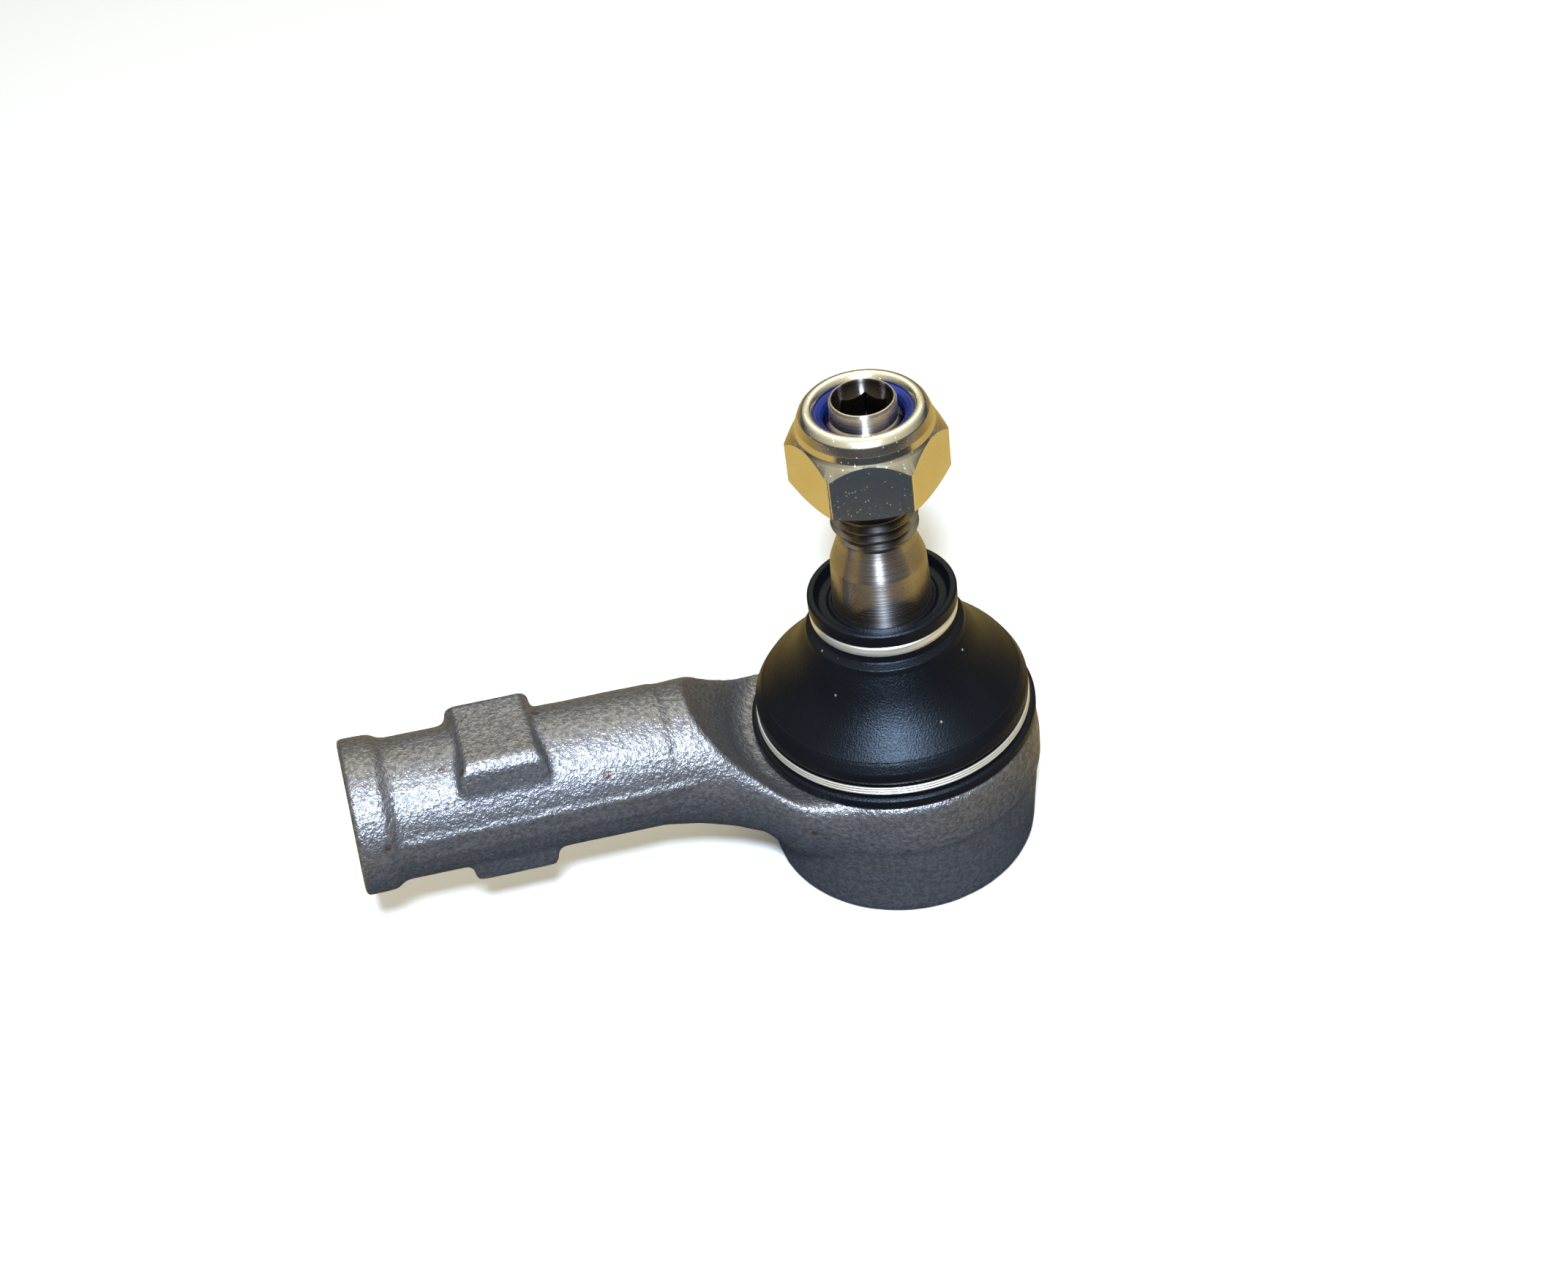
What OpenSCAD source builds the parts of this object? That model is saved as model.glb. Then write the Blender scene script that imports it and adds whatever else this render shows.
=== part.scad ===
// Outer tie rod end: a ball joint with a bent, internally threaded arm.
// The origin is the ball's centre, +Z runs up the stud, and the arm leaves towards -X.

/* [Ball joint] */
// Diameter of the ball
ball_d = 22; // [20:0.5:23]
// Radial thickness of the plastic seats round the ball
seat_wall = 2.1; // [1.8:0.1:2.3]
// Largest lean of the stud, in degrees
lean_max = 22; // [15:1:22]

/* [Housing] */
// Radius at the forging's parting band
housing_r = 20.65; // [20.3:0.05:21.5]
// Radius at the bottom edge, where the forging draft ends
housing_foot_r = 19.3; // [18.8:0.1:20]
// Depth of the housing below the ball's centre
housing_depth = 14.6; // [14.5:0.1:16]
// Height of the land that the boot sits on
land_z = 7.9; // [7.5:0.1:8.5]
// Height of the neck that the boot grips
neck_top_z = 12.2; // [11.5:0.1:12.4]
// Outer radius of that neck
neck_r = 17; // [16:0.1:17.2]
// Height of the trimmed parting band
band_h = 3.6; // [3:0.1:3.8]

/* [Arm] */
// Angle by which the shank rises towards its free end
shank_rise = 3.8; // [2:0.1:6]
// Height at which the shank's axis passes the stud's axis
shank_z = 9; // [8:0.1:10]
// Distance along the shank's axis from the stud's axis to the shank's end
shank_end = 78.1; // [75:0.1:85]
// Radius of the shank
shank_r = 10; // [9.8:0.05:10.2]
// Radius of the collar at the shank's end
collar_r = 11; // [10.7:0.05:11.4]
// Length of the collar
collar_l = 5.2; // [4:0.1:7]
// Distance along the axis to the middle of the wrench lugs
lug_mid = 57; // [54:0.1:60]
// Length of the wrench lugs along the shank
lug_l = 12.8; // [10:0.1:15]
// Distance across the wrench flats
lug_af = 22; // [21.5:0.5:23]
// Width of the wrench flats
lug_w = 16.4; // [14:0.1:17]
// Minor radius of the M14 x 1.5 thread in the shank
thread_bore_r = 6.19; // [6:0.01:6.5]
// Depth of the threaded bore
thread_bore_l = 34; // [25:1:36]

/* [Stud] */
// Radius of the neck just above the ball
stud_neck_r = 6.2; // [5.8:0.1:6.2]
// Radius of the taper's small end
taper_r = 6.6; // [6.4:0.05:6.8]
// Height of the taper's small end
taper_top_z = 36.7; // [36:0.1:38]
// Length of the taper
taper_l = 15; // [12:0.5:16]
// Height of the stud's end
stud_end_z = 63; // [62.5:0.1:65]
// Length of the plain point above the thread
point_l = 3.2; // [2:0.1:4]
// Radius of that point
point_r = 4.5; // [4.2:0.1:5]
// Radius of the M12 x 1.5 thread
thread_r = 6; // [5.5:0.5:6]
// Across flats of the key socket in the stud's end
socket_af = 6; // [5:1:6]

/* [Nut] */
// Across flats of the nut
nut_af = 19; // [18:1:19]
// Height of the nut's underside
nut_z = 50; // [48:0.5:51]
// Height of the nut with its collar
nut_h = 12; // [11.5:0.1:12.5]

/* [Boot] */
// Radius of the boot's side
boot_r = 19.4; // [19:0.1:19.8]
// Radius of the boot's bottom flange
flange_r = 20.35; // [20:0.05:20.5]
// Height where the boot's cone ends under the upper ring
cone_top_z = 25.1; // [24:0.1:26]
// Height of the boot's top rim
rim_z = 30.8; // [30:0.1:31.5]
// Radius of the boot's top rim
rim_r = 10.4; // [10:0.05:10.6]
// Thickness of the rubber
boot_wall = 1.4; // [1.2:0.1:1.6]

/* [Hidden] */
$fn = 96;

ball_r = ball_d / 2;
taper_slope = 1 / 20;         // 1:10 taper on the diameter
run_gap = 0.05;               // radial running clearance between moving pieces
soft_gap = 0.06;              // gap between the boot and what it grips
seat_in_r = ball_r + run_gap;
seat_out_r = seat_in_r + seat_wall;
cavity_r = seat_out_r + 0.03;
mouth_r = 10.35;              // smaller than the ball, so the ball cannot pull out
mouth_z = sqrt(cavity_r * cavity_r - mouth_r * mouth_r);
// The seat stops where the leaning neck would reach it
seat_edge_a = asin(stud_neck_r / ball_r) + lean_max + 2;
base_z = -housing_depth;
band_low_z = -0.5;            // lower edge of the parting band on the cup
lip_t = 0.9;                  // rolled lip that holds the end cap
lip_r = 14.2;
cap_t = 1.8;
cap_r = 15.4;
spring_t = 0.8;
spring_rise = 0.9;
seat_low_z = base_z + lip_t + cap_t + spring_t + spring_rise;
groove_z = 10.55;             // middle height of the lower ring
shoulder_r = 2.2;             // rounding between the boot's side and its cone
shoulder_z = 12.5;
wire_r = 0.3;                 // wire of the lower ring
wire_turns = 3;
wire_pitch = 0.57;
lower_groove_r = boot_r - 0.42;
ring_z = 27.75;               // middle height of the upper ring
ring_h = 1.7;
ring_t = 0.5;
upper_groove_r = rim_r - 0.62;
nut_turn_at_rest = 46.4;      // where one corner of the nut points
insert_low = 8.9;             // underside of the nylon ring above the nut's underside
insert_h = 2.1;
insert_r = 7.4;

// Points of an arc round [cx, cz], from angle a0 to a1
function arc(cx, cz, r, a0, a1, n = 6) =
    [for (i = [0:n]) let (a = a0 + (a1 - a0) * i / n) [cx + r * cos(a), cz + r * sin(a)]];

// Moves its children onto the shank's axis: local +Z then runs out along the shank, local +X up
module on_shank(along = 0) {
    translate([0, 0, shank_z]) rotate([0, -90 + shank_rise, 0]) translate([0, 0, along]) children();
}

// A thin oval slice across the arm: its drop below the shank's axis, half height and half width
module neck_slice(along, drop, half_h, half_w) {
    on_shank(along) translate([-drop, 0, 0]) scale([half_h, half_w, 1])
        rotate([0, 0, 360 / 64]) cylinder(r = 1, h = 0.4, center = true, $fn = 32);
}

// The bent neck: slices from inside the shank to inside the cup, joined in pairs
module neck() {
    slices = [[37, 0.1, shank_r - 0.3, shank_r - 0.3], [30.5, 0.6, 10.35, 10.4], [25.5, 1.6, 10.9, 11.4],
              [21.5, 2.7, 11.1, 13.1], [17.5, 5, 13.1, 15.6], [9, 7.5, 13.4, 18]];
    for (i = [0:len(slices) - 2]) hull() {
        neck_slice(slices[i][0], slices[i][1], slices[i][2], slices[i][3]);
        neck_slice(slices[i + 1][0], slices[i + 1][1], slices[i + 1][2], slices[i + 1][3]);
    }
}

// Trimmed flash that runs along the shank on both sides
module arm_band() {
    start = 28;
    end = shank_end - collar_l;
    on_shank((start + end) / 2) translate([0.4, 0, 0])
        cube([band_h, 2 * (shank_r + 0.12), end - start], center = true);
}

module shank() {
    edge = 0.5;
    on_shank() rotate_extrude() polygon(concat(
        [[0, 34], [shank_r, 34], [shank_r, shank_end - collar_l - 0.6],
         [collar_r - 0.1, shank_end - collar_l + 0.8]],
        arc(collar_r - edge, shank_end - edge, edge, 0, 90, 3),
        [[0, shank_end]]));
}

// Outline of the lugs from the side: drafted ends with bevelled corners
module lug_side() {
    half = lug_af / 2;
    end = lug_l / 2;
    for (m = [0, 1]) mirror([m, 0])
        polygon([[0, -end - 0.2], [half - 1.6, -end + 0.5], [half, -end + 1.6],
                 [half, end - 1.6], [half - 1.6, end - 0.5], [0, end + 0.2]]);
}

// Outline of the lugs along the shank: flats with bevelled edges and drafted sides
module lug_section() {
    top = lug_af / 2;
    side = lug_w / 2;
    for (m = [0, 1]) mirror([m, 0])
        polygon([[0, -side], [4.5, -side], [top - 1.2, -side + 0.9], [top, -side + 2.1],
                 [top, side - 2.1], [top - 1.2, side - 0.9], [4.5, side], [0, side]]);
}

// Wrench lugs above and below the shank, made as one block through it
module lugs() {
    on_shank(lug_mid) intersection() {
        rotate([90, 0, 0]) linear_extrude(lug_w + 2, center = true) lug_side();
        linear_extrude(lug_l + 2, center = true) lug_section();
    }
}

// Everything the arm must clear round the boot: a level floor, then a steep concave wall
module scallop() {
    rotate_extrude() polygon([[0, land_z], [21.6, land_z], [23.2, land_z + 1], [24.6, 11.3], [25.8, 13.2], [27.4, 15.6],
                              [29, 18.8], [29.8, 22], [30, 40], [0, 40]]);
}

module cup_outside() {
    rotate_extrude() polygon(concat(
        [[0, base_z]],
        arc(housing_foot_r - 2.2, base_z + 2.2, 2.2, -90, 0),
        [[housing_r - 0.4, band_low_z - 0.4], [housing_r, band_low_z], [housing_r, band_low_z + band_h]],
        arc(housing_r - 0.3 - 1.8, land_z - 1.8, 1.8, 0, 90),
        [[neck_r, land_z]],
        arc(neck_r - 0.8, neck_top_z - 0.8, 0.8, 0, 90, 4),
        [[0, neck_top_z]]));
}

// The bored inside: lip, cap recess, seat bore, domed top and flared mouth
module cup_inside() {
    translate([0, 0, base_z - 1]) cylinder(r = lip_r, h = lip_t + 1.5);
    translate([0, 0, base_z + lip_t]) cylinder(r = cap_r + 0.02, h = cap_t + 0.03);
    translate([0, 0, base_z + lip_t + cap_t]) cylinder(r = cavity_r, h = -base_z - lip_t - cap_t);
    intersection() {
        sphere(r = cavity_r);
        cylinder(r = cavity_r, h = mouth_z);
    }
    translate([0, 0, mouth_z - 0.5]) cylinder(r = mouth_r, h = 2);
    translate([0, 0, mouth_z + 0.5]) cylinder(r1 = mouth_r, r2 = 13, h = neck_top_z - mouth_z - 0.5 + 0.01);
}

module shank_bore() {
    on_shank(shank_end - thread_bore_l) cylinder(r = thread_bore_r, h = thread_bore_l + 1);
    on_shank(shank_end - 1.2) cylinder(r1 = thread_bore_r, r2 = thread_bore_r + 1.3, h = 1.21);
}

module housing() {
    color("dimgray") difference() {
        union() {
            difference() {
                union() {
                    neck();
                    shank();
                    arm_band();
                    lugs();
                }
                scallop();
            }
            cup_outside();
        }
        cup_inside();
        shank_bore();
    }
}

// Steel disc under the rolled lip, dished in the middle
module end_cap() {
    color("silver") translate([0, 0, base_z + lip_t]) rotate_extrude()
        polygon([[0, 0.5], [5.4, 0.5], [6, 0], [cap_r, 0], [cap_r, cap_t], [0, cap_t]]);
}

// Conical spring washer between the cap and the lower seat
module preload_spring() {
    color("slategray") translate([0, 0, base_z + lip_t + cap_t]) rotate_extrude()
        polygon([[12.6, 0], [12.6, spring_t], [7.4, spring_t + spring_rise], [7.4, spring_rise]]);
}

module lower_bearing_seat() {
    color("ivory") difference() {
        translate([0, 0, seat_low_z]) cylinder(r = seat_out_r, h = -0.2 - seat_low_z);
        sphere(r = seat_in_r);
    }
}

module upper_bearing_seat() {
    color("ivory") difference() {
        intersection() {
            sphere(r = seat_out_r);
            cylinder(r = seat_out_r, h = ball_r);
        }
        sphere(r = seat_in_r);
        cylinder(r1 = 0, r2 = seat_out_r * tan(seat_edge_a), h = seat_out_r);
    }
}

module key_socket() {
    depth = 5.5;
    translate([0, 0, stud_end_z - depth]) cylinder(r = socket_af / 2 / cos(30), h = depth + 1, $fn = 6);
    translate([0, 0, stud_end_z - 0.6]) cylinder(r1 = 3.1, r2 = 3.7, h = 0.61);
}

module ball_stud() {
    taper_low_z = taper_top_z - taper_l;
    taper_low_r = taper_r + taper_l * taper_slope;
    relief_r = thread_r - 0.7;
    color("burlywood") difference() {
        union() {
            sphere(r = ball_r);
            rotate_extrude() polygon([
                [0, 0], [stud_neck_r, 0], [stud_neck_r, 14.5], [taper_low_r - 0.15, taper_low_z - 2.2],
                [taper_low_r, taper_low_z], [taper_r, taper_top_z], [taper_r - 0.25, taper_top_z + 0.9],
                [relief_r + 0.1, taper_top_z + 3.3], [relief_r, taper_top_z + 4.4],
                [thread_r, taper_top_z + 5.1], [thread_r, stud_end_z - point_l - 0.9],
                [thread_r - 0.9, stud_end_z - point_l], [point_r, stud_end_z - point_l],
                [point_r, stud_end_z - 0.3], [point_r - 0.3, stud_end_z], [0, stud_end_z]]);
        }
        key_socket();
    }
}

// Radius of the stud's taper at a height
function taper_at(z) = taper_r + (taper_top_z - z) * taper_slope;

module dust_boot() {
    lip_low_z = cone_top_z + 1;
    color("#1b1c20") rotate_extrude() polygon(concat(
        // outside, from the flange up
        [[neck_r + soft_gap, land_z + soft_gap], [flange_r - 0.2, land_z + soft_gap],
         [flange_r, land_z + 0.3]],
        arc(flange_r - 0.5, land_z + 1.1, 0.5, 0, 90, 3),
        [[lower_groove_r, groove_z - 0.95], [lower_groove_r, groove_z + 0.95],
         [boot_r - 0.2, groove_z + 1.1], [boot_r, groove_z + 1.5]],
        arc(boot_r - shoulder_r, shoulder_z, shoulder_r, 0, 40),
        [[14.3, 19.7], [11.3, cone_top_z - 0.6], [10.9, cone_top_z], [10.5, cone_top_z + 0.4],
         [upper_groove_r, cone_top_z + 0.9],
         [upper_groove_r, ring_z + ring_h / 2 + 0.1], [rim_r - 0.1, ring_z + ring_h / 2 + 0.15]],
        arc(rim_r - 0.5, rim_z - 0.5, 0.5, 0, 90, 4),
        // the cup round the stud, then the lip on the taper
        [[9.3, rim_z - 0.2], [8.7, rim_z - 1.2], [7.9, rim_z - 1], [7.3, rim_z - 0.4],
         [taper_at(rim_z - 0.6) + soft_gap, rim_z - 0.6], [taper_at(lip_low_z) + soft_gap, lip_low_z]],
        // inside, back down
        [[8.3, cone_top_z], [9.7, cone_top_z - 1.2], [13, 19]],
        arc(boot_r - shoulder_r, shoulder_z, shoulder_r - boot_wall, 40, 0, 3),
        [[neck_r + soft_gap, shoulder_z]]));
}

// Three turns of wire in the boot's lower groove
module lower_boot_ring() {
    color("lightgray") rotate_extrude()
        for (i = [0:wire_turns - 1])
            translate([lower_groove_r + soft_gap + wire_r,
                       groove_z + (i - (wire_turns - 1) / 2) * wire_pitch])
                circle(wire_r, $fn = 24);
}

// Flat spring band in the boot's upper groove
module upper_boot_ring() {
    in_r = upper_groove_r + soft_gap;
    color("lightgray") rotate_extrude() translate([in_r, ring_z - ring_h / 2])
        polygon([[0, 0.1], [0.1, 0], [ring_t - 0.15, 0], [ring_t, 0.2], [ring_t, ring_h - 0.2],
                 [ring_t - 0.15, ring_h], [0.1, ring_h], [0, ring_h - 0.1]]);
}

// Hex nut with chamfered ends and a collar rolled over the insert
module lock_nut() {
    corner_r = nut_af / 2 / cos(30);
    hex_h = 8.7;
    lip_r = 1.05;
    color("tan") translate([0, 0, nut_z]) difference() {
        union() {
            intersection() {
                rotate([0, 0, nut_turn_at_rest]) cylinder(r = corner_r, h = hex_h, $fn = 6);
                rotate_extrude() polygon([
                    [0, 0], [nut_af / 2 + 0.2, 0], [corner_r + 0.1, 0.7], [corner_r + 0.1, hex_h - 2.5],
                    [nut_af / 2 - 0.1, hex_h], [0, hex_h]]);
            }
            rotate_extrude() polygon(concat(
                [[0, hex_h - 1], [nut_af / 2 - 0.15, hex_h - 0.3], [nut_af / 2 - 0.25, hex_h + 0.3]],
                arc(8.55 - lip_r, nut_h - lip_r, lip_r, 20, 90),
                [[0, nut_h]]));
        }
        translate([0, 0, -1]) cylinder(r = thread_r + 0.03, h = nut_h + 2);
        translate([0, 0, -0.01]) cylinder(r1 = thread_r + 0.7, r2 = thread_r, h = 0.7);
        translate([0, 0, insert_low]) cylinder(r = insert_r + 0.05, h = insert_h + 0.05);
        translate([0, 0, insert_low]) cylinder(r = 6.6, h = nut_h);
    }
}

// Blue locking ring held in the nut's collar
module nylon_insert() {
    color("royalblue") translate([0, 0, nut_z + insert_low + 0.02]) difference() {
        cylinder(r = insert_r, h = insert_h);
        translate([0, 0, -1]) cylinder(r = thread_r + 0.03, h = insert_h + 2);
    }
}

housing();
end_cap();
preload_spring();
lower_bearing_seat();
upper_bearing_seat();
ball_stud();
dust_boot();
lower_boot_ring();
upper_boot_ring();
lock_nut();
nylon_insert();
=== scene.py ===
"""Outer tie rod end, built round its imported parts.

Forged arm and cup, ball stud, rubber boot, spring rings, lock nut, and the seats, spring and cap inside.
"""

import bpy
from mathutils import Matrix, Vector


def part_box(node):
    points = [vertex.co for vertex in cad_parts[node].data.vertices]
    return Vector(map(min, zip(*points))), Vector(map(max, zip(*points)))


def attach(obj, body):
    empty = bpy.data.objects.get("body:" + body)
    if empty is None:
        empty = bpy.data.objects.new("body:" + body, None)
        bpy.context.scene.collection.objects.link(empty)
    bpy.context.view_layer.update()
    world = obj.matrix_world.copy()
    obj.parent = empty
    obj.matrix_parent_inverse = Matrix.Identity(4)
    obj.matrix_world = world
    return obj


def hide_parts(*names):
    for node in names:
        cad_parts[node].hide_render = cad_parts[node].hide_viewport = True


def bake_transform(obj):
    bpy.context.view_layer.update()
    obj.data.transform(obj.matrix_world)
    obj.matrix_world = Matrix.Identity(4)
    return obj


bl_info = {
    "name": "Tie Rod End",
    "version": (1, 0, 0),
    "blender": (4, 5, 0),
    "location": "View3D > Sidebar > Tie Rod End",
    "description": "Builds a steering tie rod end piece by piece round its packed solids",
    "category": "Object",
}

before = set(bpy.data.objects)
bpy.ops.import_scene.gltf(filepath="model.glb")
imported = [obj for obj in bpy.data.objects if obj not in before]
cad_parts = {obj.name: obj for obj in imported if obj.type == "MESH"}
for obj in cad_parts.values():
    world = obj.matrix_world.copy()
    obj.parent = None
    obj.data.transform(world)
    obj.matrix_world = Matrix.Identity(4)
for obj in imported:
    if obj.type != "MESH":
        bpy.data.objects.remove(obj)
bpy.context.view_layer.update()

import math

import bpy
from bpy.props import FloatProperty, FloatVectorProperty, IntProperty, PointerProperty
from mathutils import Matrix, Vector

MM = 0.001
FULL_TURN = 2 * math.pi

# Steps round a corner of an outline, for a radius under 1 mm and for a larger one
SMALL_CORNER_STEPS, LARGE_CORNER_STEPS = 4, 12

# Stud, in mm above the ball's centre
BALL_R = 11.0
TAPER_TOP = (6.6, 36.7)
TAPER_FOOT = (7.35, 21.7)
THREAD_LOW, THREAD_HIGH = 41.0, 59.8
POINT_R, STUD_TOP = 4.5, 63.0
SOCKET_MOUTH_R = 4.1

# Nut: height of its foot in mm, and where one of its corners stands in degrees
NUT_FOOT = 50.0
NUT_CORNER_ANGLE = 46.4

# Arm: its axis rises from SHANK_HEIGHT, in mm, and its thread starts at SHANK_END along it
SHANK_RISE = math.radians(3.8)
SHANK_HEIGHT = 9.0
SHANK_END = 78.1
ARM_PITCH, ARM_THREAD_DEPTH = 1.5, 33.0

# Web between the arm and the cup, in mm: worn softer outside WEB_SIDE of the arm's plane, between two radii
WEB_SIDE, WEB_FLANK = 7, 14
WEB_INNER_R, WEB_FLANK_INNER_R, WEB_OUTER_R = 20.3, 17.8, 29
WEB_FRONT, WEB_FOOT = -3, 2
WEB_ROUNDS = 60

# Broad waves of the forged skin, width in metres
WAVE_WIDTH = 0.0035

# Lower ring: whole turns of wire, and the pitch in wire radii
RING_TURNS, RING_SPACING = 3, 2.2

# Stage, in metres: the floor lies a little under the part and the card a little over the floor
FLOOR_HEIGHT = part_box("housing")[0].z
FLOOR_DROP, CARD_LIFT = 0.0001, 0.0005
FRONT_LIGHT = {"place": (-0.066, -0.262, 0.335), "target": (-0.02, 0, 0.015), "size": 0.05,
               "tint": (0.68, 0.82, 1.0)}
OVERHEAD_LIGHT = {"place": (0.05, 0.25, 0.55), "target": (-0.02, 0, 0.01), "size": 0.5,
                  "tint": (1.0, 0.89, 0.55)}
CAMERA_PLACE = (-0.06192, -0.26480, 0.25586)
CAMERA_TURN = (49.33486, 5.88766, -15.21175)
CAMERA_SENSOR, CAMERA_LENS = 36.0, 58.81

# Room colours: plain for soft light, low to high for what the metal reflects
ROOM_PLAIN = (0.9, 0.88, 0.82, 1)
ROOM_LOW, ROOM_HIGH = (0.09, 0.09, 0.11, 1), (1.9, 1.85, 1.5, 1)
CARD_WARM, CARD_BROWN = (0.37, 0.25, 0.078), (0.33, 0.22, 0.067)
# Painted shade in reflections: the card's dark ovals in front of and under the part
CARD_PAINTED_SHADE = (0.009, 0.013, 0.022, 1)

# Colours of small marks
# Brighter blasted peaks: partly burnished steel, partly painted glints
BLASTED_PEAK_AND_GLINT = (0.38, 0.38, 0.42, 1)
RUST = (0.07, 0.028, 0.014, 1)
PORE = (0.02, 0.018, 0.018, 1)
NICK = (0.16, 0.13, 0.11, 1)
# Painted shade inside the stud's key socket
SOCKET_PAINTED_SHADE = (0.03, 0.024, 0.018, 1)
DUST = (0.35, 0.34, 0.32, 1)
PIT = (0.95, 0.93, 0.86, 1)


# ---------------------------------------------------------------- modelling helpers

def clear_selection():
    """Leave edit mode with nothing selected."""
    if bpy.context.object and bpy.context.object.mode != "OBJECT":
        bpy.ops.object.mode_set(mode="OBJECT")
    bpy.ops.object.select_all(action="DESELECT")


def pick(obj):
    """Make one object the only selected one."""
    clear_selection()
    obj.select_set(True)
    bpy.context.view_layer.objects.active = obj
    return obj


def outline(points, closed=False):
    """The outline with every corner rounded: points are (radius, height[, corner radius]) in mm."""
    out, count = [], len(points)
    for i, point in enumerate(points):
        corner = Vector(point[:2])
        size = point[2] if len(point) > 2 else 0
        if not size or (not closed and i in (0, count - 1)):
            out.append(tuple(corner))
            continue
        back = Vector(points[i - 1][:2]) - corner
        ahead = Vector(points[(i + 1) % count][:2]) - corner
        cut = min(size / math.tan(back.angle(ahead) / 2), 0.48 * back.length, 0.48 * ahead.length)
        first, last = corner + back.normalized() * cut, corner + ahead.normalized() * cut
        fine = SMALL_CORNER_STEPS if size < 1 else LARGE_CORNER_STEPS
        for k in range(fine + 1):
            t = k / fine
            out.append(tuple(first * (1 - t) ** 2 + corner * 2 * t * (1 - t) + last * t ** 2))
    return out


def turned(name, points, segments, closed=False):
    """Turn an outline round the Z axis: a ring is extruded and resized through its points."""
    clear_selection()
    radius, height = points[0]
    bpy.ops.mesh.primitive_circle_add(vertices=segments, radius=radius * MM, fill_type="NOTHING",
                                      location=(0, 0, height * MM))
    obj = bpy.context.object
    bpy.ops.object.transform_apply(location=True, rotation=True, scale=True)
    bpy.ops.object.mode_set(mode="EDIT")
    bpy.ops.mesh.select_all(action="SELECT")
    for next_radius, next_height in points[1:]:
        lift = (0, 0, (next_height - height) * MM)
        bpy.ops.mesh.extrude_region_move(TRANSFORM_OT_translate={"value": lift})
        grow = next_radius / radius
        bpy.ops.transform.resize(value=(grow, grow, 1), center_override=(0, 0, next_height * MM))
        radius, height = next_radius, next_height
    if closed:
        bpy.ops.mesh.select_all(action="DESELECT")
        bpy.ops.mesh.select_non_manifold()
        bpy.ops.mesh.bridge_edge_loops()
    else:
        bpy.ops.mesh.merge(type="CENTER")
        bpy.ops.mesh.select_all(action="DESELECT")
        bpy.ops.mesh.select_non_manifold()
        bpy.ops.mesh.merge(type="CENTER")
    bpy.ops.mesh.select_all(action="SELECT")
    bpy.ops.mesh.normals_make_consistent(inside=False)
    bpy.ops.object.mode_set(mode="OBJECT")
    obj.name = obj.data.name = name
    return obj


def wound(name, points, pitch, turns, steps, start_angle=0.0):
    """Wind a chain or loop of (radius, height) points, in mm, up the Z axis as a screw."""
    clear_selection()
    bpy.ops.mesh.primitive_plane_add(size=MM, location=(0, 0, 0))
    obj = bpy.context.object
    bpy.ops.object.mode_set(mode="EDIT")
    bpy.ops.mesh.select_all(action="SELECT")
    bpy.ops.mesh.merge(type="CENTER")
    at = Vector((0, 0, 0))
    for i, (radius, height) in enumerate(points):
        reach = radius * MM
        to = Vector((reach * math.cos(start_angle), reach * math.sin(start_angle), height * MM))
        if i == 0:
            bpy.ops.transform.translate(value=to - at)
        else:
            bpy.ops.mesh.extrude_vertices_move(TRANSFORM_OT_translate={"value": to - at})
        at = to
    bpy.ops.object.mode_set(mode="OBJECT")
    screw = obj.modifiers.new("Wind", "SCREW")
    screw.axis, screw.angle = "Z", FULL_TURN
    screw.screw_offset, screw.iterations = pitch * MM, turns
    screw.steps = screw.render_steps = steps
    screw.use_merge_vertices, screw.merge_threshold = True, 1e-7
    bpy.ops.object.modifier_apply(modifier=screw.name)
    obj.name = obj.data.name = name
    return obj


def close_holes(obj):
    """Weld what meets, fill the open ends and turn the faces outwards."""
    pick(obj)
    bpy.ops.object.mode_set(mode="EDIT")
    bpy.ops.mesh.select_all(action="SELECT")
    bpy.ops.mesh.remove_doubles(threshold=2e-7)
    bpy.ops.mesh.select_all(action="DESELECT")
    bpy.ops.mesh.select_non_manifold()
    bpy.ops.mesh.edge_face_add()
    bpy.ops.mesh.select_all(action="SELECT")
    bpy.ops.mesh.normals_make_consistent(inside=False)
    bpy.ops.object.mode_set(mode="OBJECT")
    return obj


def modify(obj, kind, **values):
    """Add a modifier, set it and apply it."""
    pick(obj)
    modifier = obj.modifiers.new(kind.title(), kind)
    for key, value in values.items():
        setattr(modifier, key, value)
    bpy.ops.object.modifier_apply(modifier=modifier.name)
    return obj


def cut_with(obj, tool, operation="DIFFERENCE"):
    """Cut, keep or add the tool's shape, then remove the tool."""
    modify(obj, "BOOLEAN", operation=operation, solver="EXACT", object=tool)
    bpy.data.objects.remove(tool)
    return obj


def hexagon(name, across_flats, low, high, angle, edge):
    """A hexagonal bar along Z with eased long edges, sizes in mm."""
    clear_selection()
    bpy.ops.mesh.primitive_cylinder_add(vertices=6, radius=across_flats / 2 / math.cos(math.pi / 6) * MM,
                                        depth=(high - low) * MM, location=(0, 0, (high + low) / 2 * MM))
    obj = bpy.context.object
    bpy.ops.object.transform_apply(location=True)
    first = math.atan2(obj.data.vertices[0].co.y, obj.data.vertices[0].co.x)
    obj.rotation_euler.z = angle - first
    bpy.ops.object.transform_apply(rotation=True)
    bpy.ops.object.mode_set(mode="EDIT")
    bpy.ops.mesh.select_mode(type="EDGE")
    bpy.ops.mesh.select_all(action="DESELECT")
    bpy.ops.object.mode_set(mode="OBJECT")
    for e in obj.data.edges:
        a, b = (obj.data.vertices[v].co for v in e.vertices)
        e.select = abs(a.z - b.z) > (high - low) * MM / 2
    bpy.ops.object.mode_set(mode="EDIT")
    bpy.ops.mesh.bevel(offset=edge * MM, offset_type="OFFSET", segments=3, affect="EDGES")
    bpy.ops.mesh.select_mode(type="VERT")
    bpy.ops.object.mode_set(mode="OBJECT")
    obj.name = name
    return obj


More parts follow.
